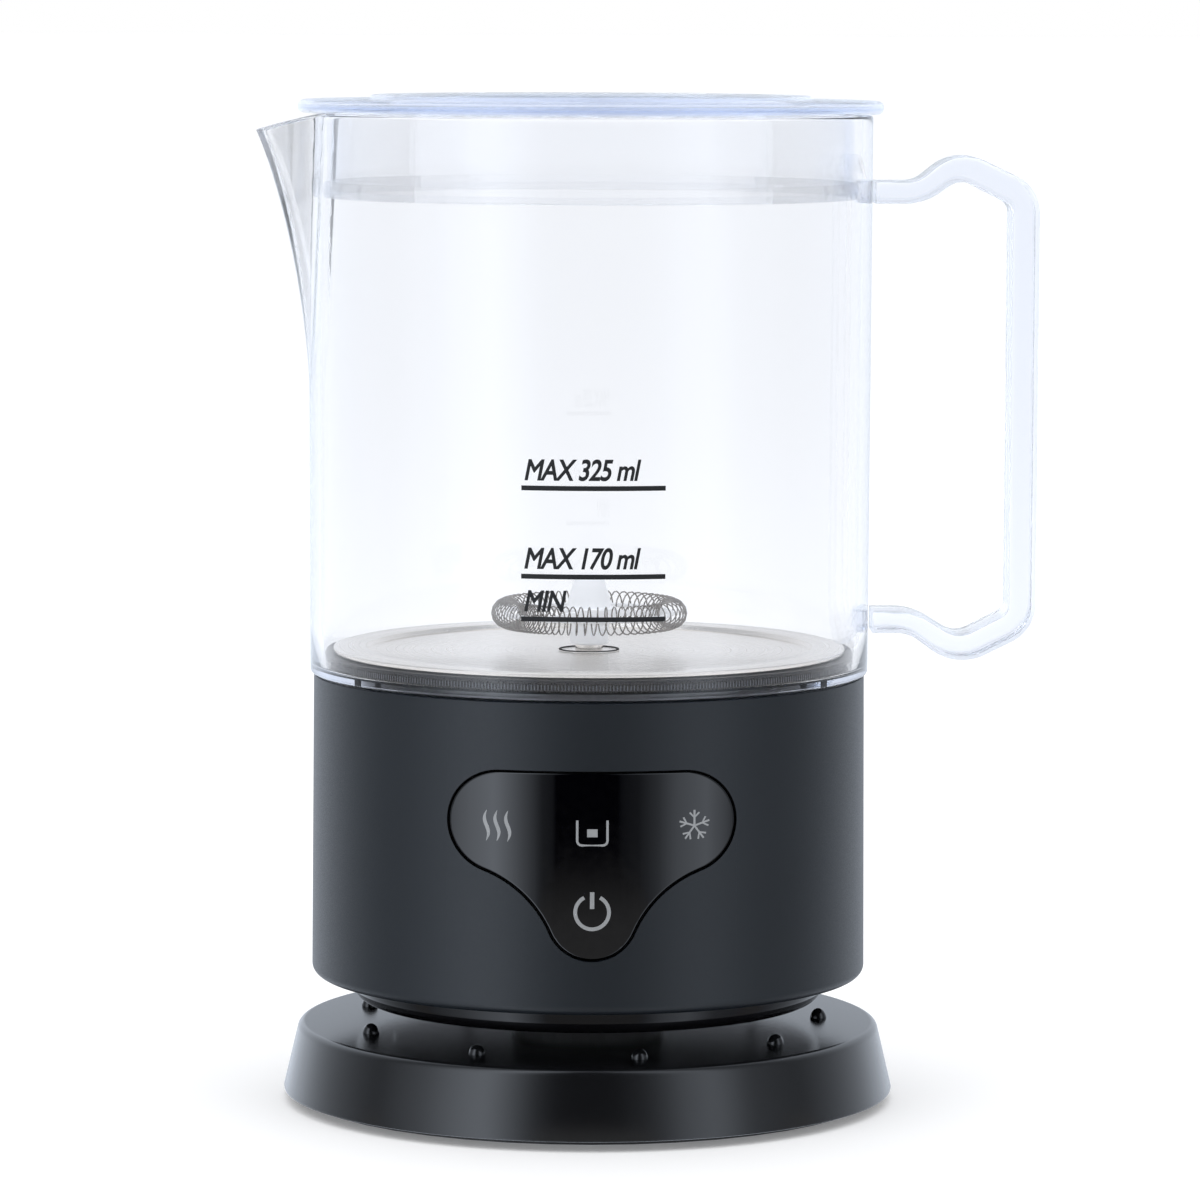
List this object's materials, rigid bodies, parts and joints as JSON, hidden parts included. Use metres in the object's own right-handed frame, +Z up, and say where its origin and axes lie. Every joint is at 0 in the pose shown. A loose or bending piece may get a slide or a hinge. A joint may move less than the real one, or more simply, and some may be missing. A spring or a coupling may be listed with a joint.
{
  "type": "electric milk frother",
  "caption": "Electric milk frother: a clear jug with spout, lid and handle on a heated housing with a touch panel, which docks on a round cordless power base.",
  "frame": {"origin": "on the shared axis of the base, motor and whisk, at the level that the rubber feet stand on; the flat underside of the base is 1 mm above it", "axes": "+Z up along the axis, -Y towards the control panel, +X towards the handle and -X towards the spout"},
  "size_m": [0.1581, 0.1244, 0.2045],
  "materials": {
    "satin_black": "satin moulded black plastic",
    "gloss_black": "polished black plastic",
    "matte_black": "matte black plastic",
    "charcoal": "dark charcoal coating with a fine metallic grain",
    "clear_plastic": "clear polished copolyester with a faint blue tint",
    "silicone": "translucent silicone",
    "rubber": "matte black rubber",
    "grey_plastic": "moulded grey plastic",
    "stainless": "brushed stainless steel",
    "steel": "pressed zinc-coated steel",
    "zinc": "zinc-plated screw",
    "aluminium": "cast aluminium",
    "nickel": "nickel-plated magnet",
    "brass": "plain brass contact",
    "circuit_board": "green solder-masked board",
    "relay_blue": "blue moulded relay case"
  },
  "bodies": {
    "power_base": {"base_cover": "satin_black", "base_bottom_plate": "matte_black", "base_foot_1": "rubber", "base_foot_2": "rubber", "base_foot_3": "rubber", "base_foot_4": "rubber", "base_screw_1": "zinc", "base_screw_2": "zinc", "base_screw_3": "zinc", "cord_gland": "rubber", "base_connector": "matte_black", "base_contact_ring": "brass"},
    "shroud": {"connector_shroud": "grey_plastic"},
    "unit": {"housing": "charcoal", "bottom_cover": "gloss_black", "body_screw_1": "zinc", "body_screw_2": "zinc", "body_screw_3": "zinc", "socket": "matte_black", "socket_pin": "brass", "socket_contact": "brass", "panel_cover": "gloss_black", "panel_gasket": "rubber", "light_guide": "clear_plastic", "touch_board": "circuit_board", "control_board": "circuit_board", "relay": "relay_blue", "capacitor": "matte_black", "terminal_block": "grey_plastic", "motor_bracket": "steel", "bracket_screw_1": "zinc", "bracket_screw_2": "zinc", "bracket_screw_3": "zinc", "motor_can": "steel", "motor_end_cap": "grey_plastic", "heater_plate": "stainless", "heating_element": "aluminium", "thermal_cutout": "grey_plastic", "temperature_sensor": "brass", "jug": "clear_plastic", "handle": "clear_plastic", "clamp_ring": "gloss_black", "jug_seal": "rubber", "jug_screw_1": "matte_black", "jug_screw_2": "matte_black", "jug_screw_3": "matte_black"},
    "rotor": {"motor_shaft": "steel", "magnet_carrier": "grey_plastic", "drive_magnet_1": "nickel", "drive_magnet_2": "nickel"},
    "whisk": {"whisk_hub": "clear_plastic", "whisk_magnet": "nickel", "whisk_ring": "clear_plastic", "whisk_coil": "stainless"},
    "lid": {"lid": "clear_plastic", "lid_seal": "silicone"}
  },
  "joints": [
    {"name": "unit_swivel", "type": "hinge", "parent": "power_base", "child": "shroud", "pos_m": [0, 0, 0.015], "axis": [0, 0, 1], "continuous": true},
    {"name": "unit_lift", "type": "slide", "parent": "shroud", "child": "unit", "axis": [0, 0, 1], "range_m": [0, 0.05]},
    {"name": "motor_spin", "type": "hinge", "parent": "unit", "child": "rotor", "pos_m": [0, 0, 0.08], "axis": [0, 0, 1], "continuous": true},
    {"name": "whisk_lift", "type": "slide", "parent": "rotor", "child": "whisk", "axis": [0, 0, 1], "range_m": [0, 0.06]},
    {"name": "lid_lift", "type": "slide", "parent": "unit", "child": "lid", "axis": [0, 0, 1], "range_m": [0, 0.04]}
  ]
}
